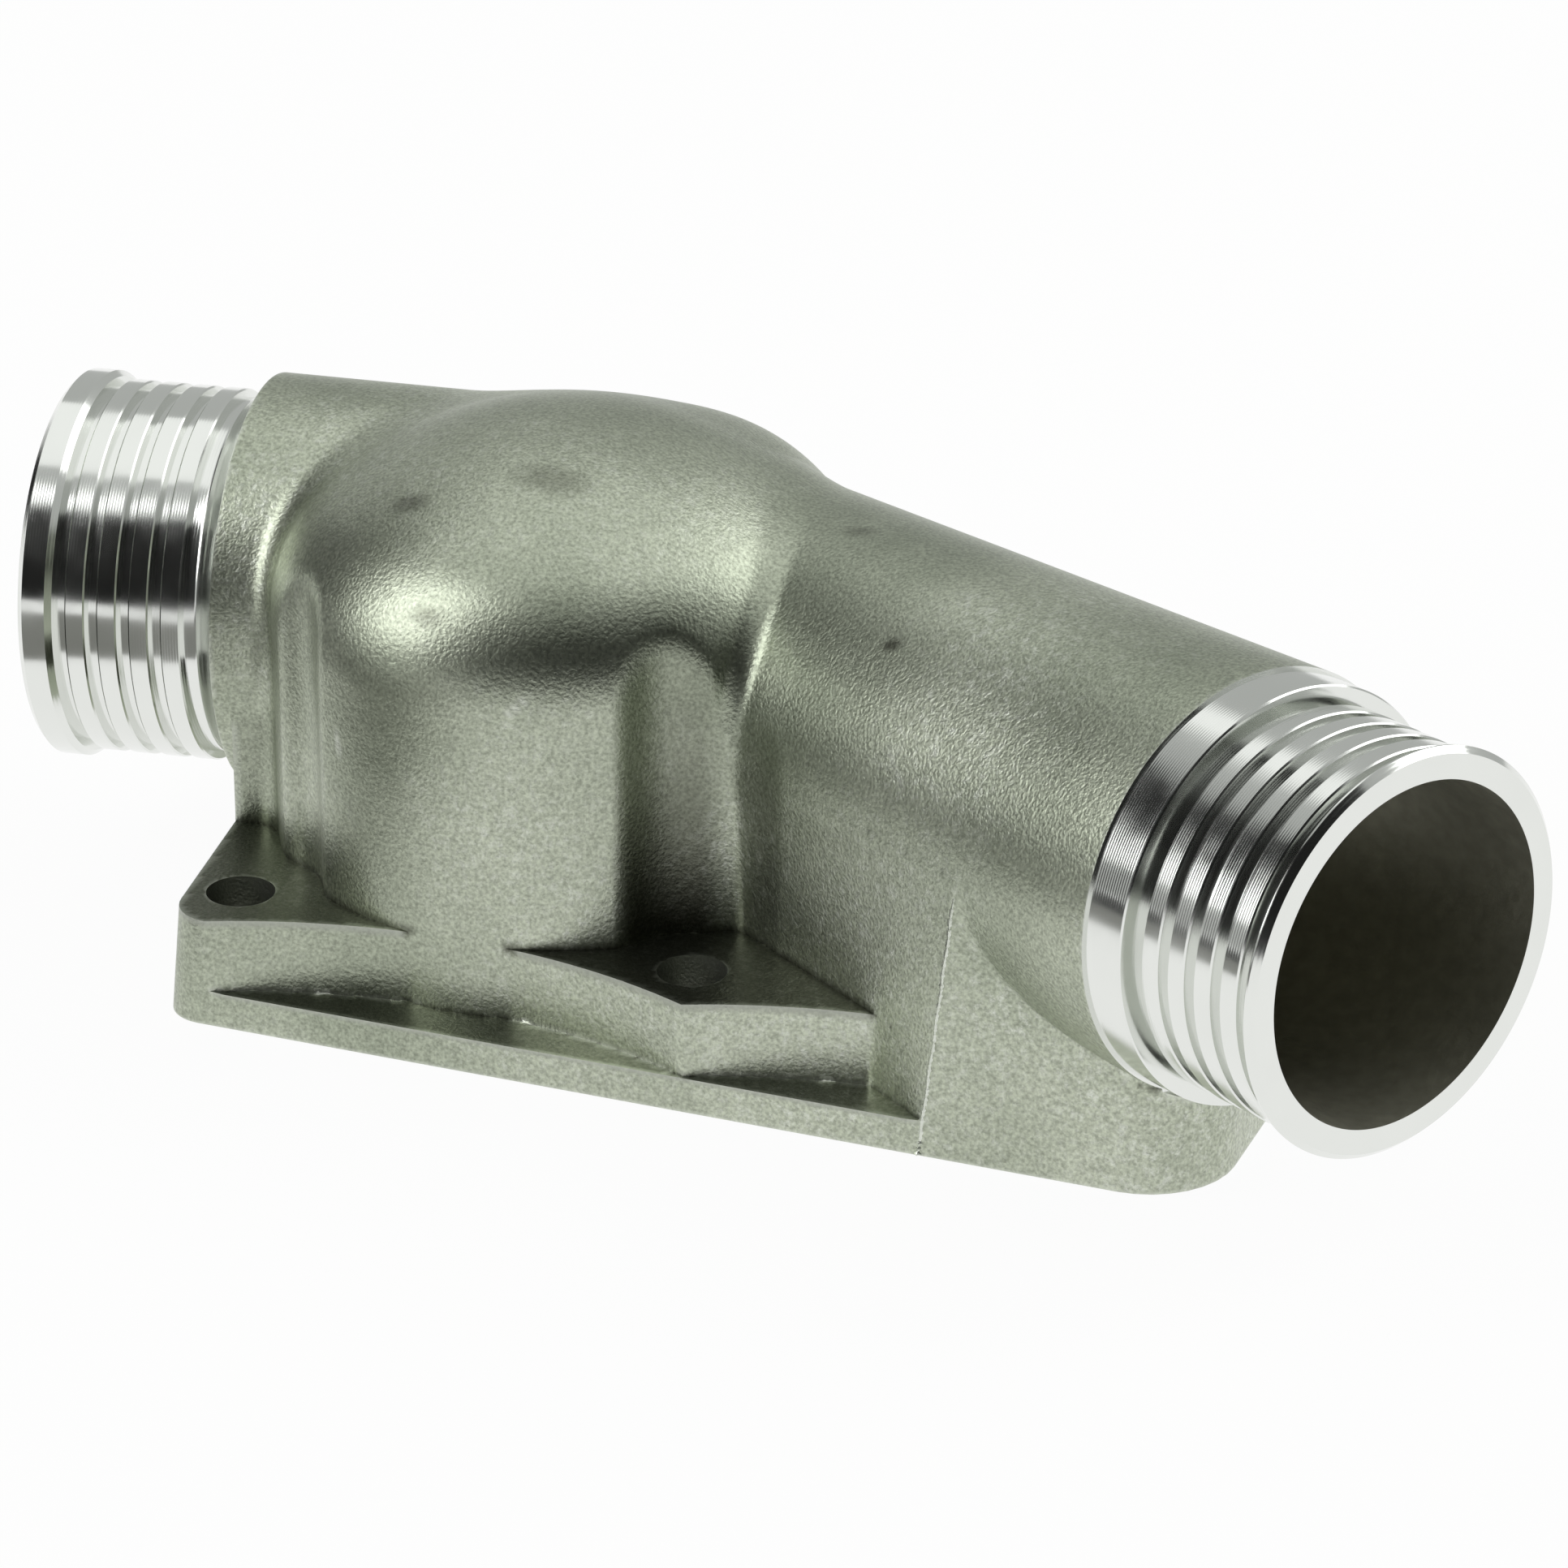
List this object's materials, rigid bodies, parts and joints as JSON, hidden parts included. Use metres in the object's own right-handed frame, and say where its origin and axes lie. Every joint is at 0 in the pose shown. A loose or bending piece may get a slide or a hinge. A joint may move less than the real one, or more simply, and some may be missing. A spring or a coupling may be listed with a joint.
{
  "type": "thermostat housing",
  "caption": "Cast aluminium coolant housing with a domed chamber, a scalloped bolting flange and two angled hose necks with machined rings.",
  "frame": {"origin": "centre of the valve seat at the mating face", "axes": "+Z away from the engine, +X along the front bolt row towards the long neck, -Y the side with the scalloped flange edge"},
  "size_m": [0.1685, 0.099, 0.056],
  "materials": {
    "cast_aluminium": "satin"
  },
  "bodies": {
    "root": {"housing": "cast_aluminium"}
  },
  "joints": []
}
